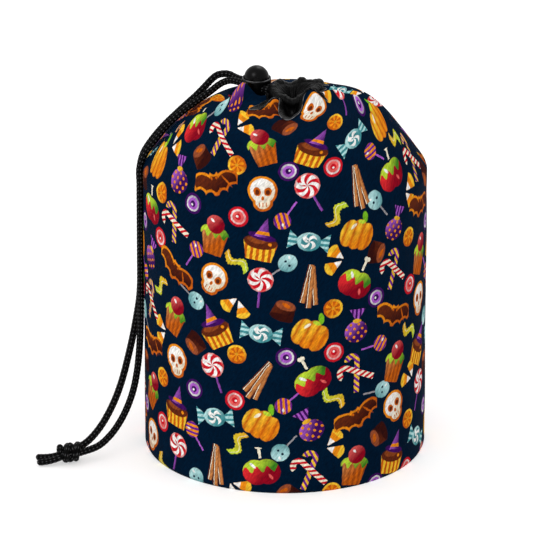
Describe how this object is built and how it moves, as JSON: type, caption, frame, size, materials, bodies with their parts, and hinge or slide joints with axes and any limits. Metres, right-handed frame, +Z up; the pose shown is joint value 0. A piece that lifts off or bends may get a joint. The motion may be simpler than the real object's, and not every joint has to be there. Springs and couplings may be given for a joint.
{
  "type": "drawstring treat pouch",
  "caption": "Round padded drawstring pouch with a gathered shoulder, black neck casing, knotted drawcord and spring cord lock.",
  "frame": {"origin": "middle of the round base, on the surface that the pouch stands on", "axes": "+Z up through the neck, +X away from the hanging drawcord, -Y towards the front"},
  "size_m": [0.2508, 0.18, 0.2532],
  "materials": {
    "printed_cloth": null,
    "casing_cloth": "black satin-faced woven polyester",
    "lining_cloth": "thin black woven polyester",
    "binding_tape": "black ribbed grosgrain tape",
    "foam": "pale soft foam",
    "board": "grey plastic board",
    "cord": "black braided polyester cord",
    "lock_plastic": "satin black moulded plastic",
    "spring_steel": "spring wire"
  },
  "bodies": {
    "pouch": {"outer_wall": "printed_cloth", "outer_shoulder": "printed_cloth", "outer_base": "printed_cloth", "wall_padding": "foam", "base_foam": "foam", "base_board": "board", "lining": "lining_cloth", "base_lining": "lining_cloth", "base_binding": "binding_tape", "side_binding": "binding_tape", "neck_casing": "casing_cloth", "channel_cord": "cord", "strand_back": "cord", "strand_front": "cord", "cord_knot": "cord", "cord_tails": "cord"},
    "cord_lock": {"lock_barrel": "lock_plastic", "lock_spring": "spring_steel"},
    "lock_button": {"lock_plunger": "lock_plastic"}
  },
  "joints": [
    {"name": "lock_slide", "type": "slide", "parent": "pouch", "child": "cord_lock", "axis": [-0.766, 0.6428, 0], "range_m": [0, 0.006]},
    {"name": "button_press", "type": "slide", "parent": "cord_lock", "child": "lock_button", "axis": [0, 0, -1], "range_m": [0, 0.003], "stiffness_N_per_m": 600, "springref_m": -0.001, "deforming": ["lock_spring"]}
  ]
}
